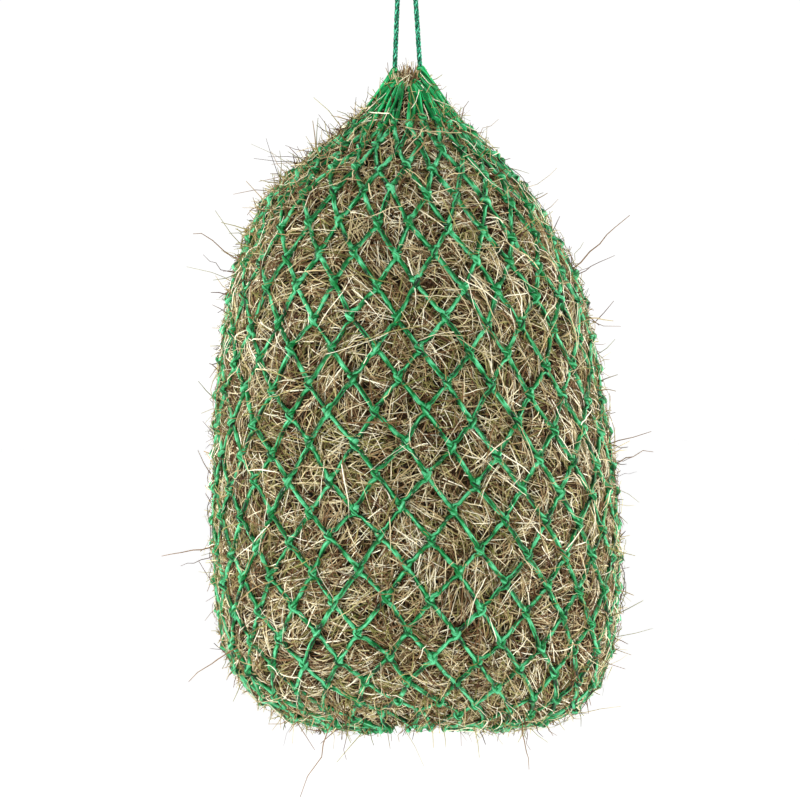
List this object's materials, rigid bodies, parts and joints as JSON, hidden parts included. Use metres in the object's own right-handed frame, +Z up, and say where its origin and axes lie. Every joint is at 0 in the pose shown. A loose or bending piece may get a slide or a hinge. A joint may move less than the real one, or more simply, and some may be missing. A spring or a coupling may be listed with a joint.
{
  "type": "hay net",
  "caption": "Tall rounded bag of knotted diamond-mesh twine stuffed with hay, its neck gathered on a drawcord that hangs in a small ring.",
  "frame": {"origin": "inner top of the hanging ring, where the hook that holds the net up bears on it", "axes": "+Z up; +X across the bag's wider side, to the right seen from the front; the front faces -Y"},
  "size_m": [0.54, 0.5077, 1.0794],
  "materials": {
    "ring_steel": "satin zinc-plated wire",
    "drawcord": "braided green polypropylene cord, slight sheen",
    "netting": "knotted green polypropylene twine, slight sheen",
    "hay": "packed dry hay stems and leaves, matte",
    "hay_stalk": "dry grass stalk, faint sheen"
  },
  "bodies": {
    "hanging_ring": {"hanging_ring": "ring_steel"},
    "cord_loop": {"cord_loop": "drawcord"},
    "cord_knot": {"cord_knot": "drawcord", "cord_tail_left": "drawcord", "cord_tail_right": "drawcord"},
    "net": {"drawcord_leg_left": "drawcord", "drawcord_leg_right": "drawcord", "neck_drawcord": "drawcord", "neck_loops": "netting", "mesh_row_01": "netting", "mesh_row_02": "netting", "mesh_row_03": "netting", "mesh_row_04": "netting", "mesh_row_05": "netting", "mesh_row_06": "netting", "mesh_row_07": "netting", "mesh_row_08": "netting", "mesh_row_09": "netting", "mesh_row_10": "netting", "mesh_row_11": "netting", "mesh_row_12": "netting", "mesh_row_13": "netting", "mesh_row_14": "netting", "mesh_row_15": "netting", "mesh_row_16": "netting", "mesh_row_17": "netting", "mesh_row_18": "netting", "mesh_row_19": "netting", "mesh_row_20": "netting", "mesh_row_21": "netting", "mesh_row_22": "netting", "base_loops": "netting", "base_cord": "netting", "hay_flake_1": "hay", "hay_flake_2": "hay", "hay_flake_3": "hay", "hay_flake_4": "hay", "hay_flake_5": "hay", "hay_flake_6": "hay", "hay_flake_7": "hay", "hay_tuft": "hay_stalk", "stalk_left_upper": "hay_stalk", "stalk_left_lower": "hay_stalk", "stalk_left_base": "hay_stalk", "stalk_right_upper": "hay_stalk", "stalk_right_middle": "hay_stalk", "stalk_front": "hay_stalk", "stalk_back": "hay_stalk", "stalk_base_left": "hay_stalk", "stalk_base_right": "hay_stalk"}
  },
  "joints": [
    {"name": "swing_front", "type": "hinge", "parent": "hanging_ring", "child": "cord_loop", "pos_m": [0, 0, -0.041], "axis": [1, 0, 0], "range_deg": [-45, 45]},
    {"name": "swing_side", "type": "hinge", "parent": "cord_loop", "child": "cord_knot", "pos_m": [0, 0, -0.071], "axis": [0, 1, 0], "range_deg": [-45, 45]},
    {"name": "net_spin", "type": "hinge", "parent": "cord_knot", "child": "net", "pos_m": [0, 0, -0.071], "axis": [0, 0, 1], "range_deg": [-170, 170], "stiffness_Nm_per_rad": 0.02}
  ]
}
